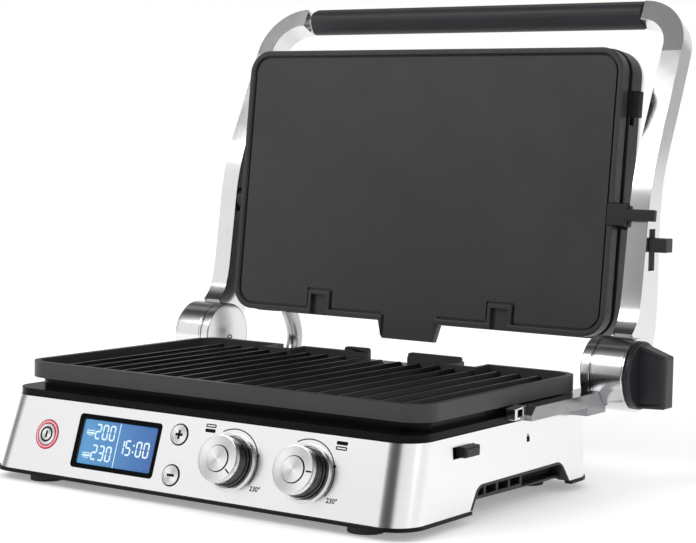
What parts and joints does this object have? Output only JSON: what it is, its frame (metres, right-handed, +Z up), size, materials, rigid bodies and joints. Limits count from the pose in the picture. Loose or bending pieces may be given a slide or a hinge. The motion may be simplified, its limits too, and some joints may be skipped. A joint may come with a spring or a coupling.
{
  "type": "contact grill",
  "caption": "Electric contact grill standing open, with a stainless base and control panel, a ribbed lower plate, and a floating lid with a smooth upper plate on two cast arms.",
  "frame": {"origin": "on the floor under the middle of the object's bounding box", "axes": "+X to the right as seen from the control panel, +Y to the back, +Z up"},
  "size_m": [0.4698, 0.4156, 0.3832],
  "materials": {
    "brushed_steel": "fine brushed stainless sheet",
    "lid_steel": "brushed stainless dome",
    "chrome": "polished and chromed casting",
    "coated": "dark non-stick coating with a dull sheen",
    "gloss_black": "glossy black moulding",
    "matt_black": "satin black moulding",
    "rubber": "soft matt rubber",
    "steel_pin": "turned steel",
    "knob_metal": "spun and brushed",
    "key_metal": "satin",
    "red_ring": "translucent red ring",
    "screen": "blue display module",
    "lens": "clear lens",
    "circuit": "circuit board with its parts",
    "element": "heat-stained sheath",
    "reflector": "bright folded sheet"
  },
  "bodies": {
    "base": {"base_shell": "brushed_steel", "top_deck": "gloss_black", "bottom_cover": "matt_black", "side_recess_right": "matt_black", "side_recess_left": "matt_black", "foot_front_left": "rubber", "foot_front_right": "rubber", "foot_rear_left": "rubber", "foot_rear_right": "rubber", "hinge_bracket_right": "chrome", "hinge_bracket_left": "chrome", "plate_catch": "chrome", "hinge_pin_right": "steel_pin", "hinge_pin_left": "steel_pin", "lower_heater": "element", "lower_reflector": "reflector", "power_board": "circuit", "cord_inlet": "rubber", "display_bezel": "gloss_black", "display_lens": "lens", "lcd_module": "screen", "power_ring": "red_ring", "encoder_left": "steel_pin", "encoder_right": "steel_pin", "control_board": "circuit"},
    "drip_tray": {"drip_tray": "matt_black"},
    "base_release": {"base_release_slider": "matt_black"},
    "lower_plate": {"lower_grill_plate": "coated"},
    "arms": {"arm_right": "chrome", "arm_left": "chrome", "handle_bar": "steel_pin", "handle_grip": "matt_black", "hub_cap_left": "chrome", "slider_guide": "matt_black", "cable_conduit": "chrome"},
    "lever": {"release_lever": "matt_black"},
    "height_slider": {"height_slider": "matt_black"},
    "lid": {"lid_frame": "matt_black", "lid_cover": "lid_steel", "upper_heater": "element", "upper_reflector": "reflector", "tilt_stop": "matt_black", "pivot_pin_right": "steel_pin", "pivot_pin_left": "steel_pin"},
    "lid_release": {"lid_release_tab": "matt_black"},
    "upper_plate": {"upper_flat_plate": "coated"},
    "power_button": {"power_button": "key_metal"},
    "plus_button": {"plus_button": "key_metal"},
    "minus_button": {"minus_button": "key_metal"},
    "knob_left": {"knob_left": "knob_metal"},
    "knob_right": {"knob_right": "knob_metal"},
    "knob_button_left": {"knob_button_left": "knob_metal"},
    "knob_button_right": {"knob_button_right": "knob_metal"}
  },
  "joints": [
    {"name": "arm_hinge", "type": "hinge", "parent": "base", "child": "arms", "pos_m": [-0.0121, 0.09353, 0.087], "axis": [-1, 0, 0], "range_deg": [-96, 84], "deforming": ["cable_conduit"]},
    {"name": "lid_tilt", "type": "hinge", "parent": "arms", "child": "lid", "pos_m": [-0.0121, 0.12953, 0.2076], "axis": [1, 0, 0], "range_deg": [0, 12]},
    {"name": "lower_plate_lift", "type": "slide", "parent": "base", "child": "lower_plate", "axis": [0, 0, 1], "range_m": [0, 0.08]},
    {"name": "upper_plate_slide", "type": "slide", "parent": "lid", "child": "upper_plate", "axis": [0, -0.9945, 0.1045], "range_m": [0, 0.06]},
    {"name": "drip_tray_slide", "type": "slide", "parent": "base", "child": "drip_tray", "axis": [0, -1, 0], "range_m": [-0.06, 0]},
    {"name": "base_release_slide", "type": "slide", "parent": "base", "child": "base_release", "axis": [0, -1, 0], "range_m": [0, 0.007], "stiffness_N_per_m": 200, "springref_m": -0.002},
    {"name": "lid_release_slide", "type": "slide", "parent": "lid", "child": "lid_release", "axis": [0, -0.1045, -0.9945], "range_m": [0, 0.006], "stiffness_N_per_m": 200, "springref_m": -0.002},
    {"name": "height_slide", "type": "slide", "parent": "arms", "child": "height_slider", "axis": [0, 0, -1], "range_m": [-0.006, 0.013]},
    {"name": "lever_turn", "type": "hinge", "parent": "arms", "child": "lever", "pos_m": [-0.0121, 0.09353, 0.087], "axis": [1, 0, 0], "range_deg": [0, 45], "stiffness_Nm_per_rad": 1.5, "springref_deg": -5.73},
    {"name": "knob_left_turn", "type": "hinge", "parent": "base", "child": "knob_left", "pos_m": [0.0264, -0.18518, 0.03603], "axis": [0, -0.9499, 0.3126], "range_deg": [-10, 260]},
    {"name": "knob_right_turn", "type": "hinge", "parent": "base", "child": "knob_right", "pos_m": [0.0919, -0.18518, 0.03603], "axis": [0, -0.9499, 0.3126], "range_deg": [-50, 220]},
    {"name": "power_press", "type": "slide", "parent": "base", "child": "power_button", "axis": [0, 0.9499, -0.3126], "range_m": [0, 0.001], "stiffness_N_per_m": 600, "springref_m": -0.0005},
    {"name": "plus_press", "type": "slide", "parent": "base", "child": "plus_button", "axis": [0, 0.9499, -0.3126], "range_m": [0, 0.001], "stiffness_N_per_m": 600, "springref_m": -0.0005},
    {"name": "minus_press", "type": "slide", "parent": "base", "child": "minus_button", "axis": [0, 0.9499, -0.3126], "range_m": [0, 0.001], "stiffness_N_per_m": 600, "springref_m": -0.0005},
    {"name": "knob_left_press", "type": "slide", "parent": "knob_left", "child": "knob_button_left", "axis": [0, 0.9499, -0.3126], "range_m": [0, 0.0008], "stiffness_N_per_m": 600, "springref_m": -0.0005},
    {"name": "knob_right_press", "type": "slide", "parent": "knob_right", "child": "knob_button_right", "axis": [0, 0.9499, -0.3126], "range_m": [0, 0.0008], "stiffness_N_per_m": 600, "springref_m": -0.0005}
  ]
}
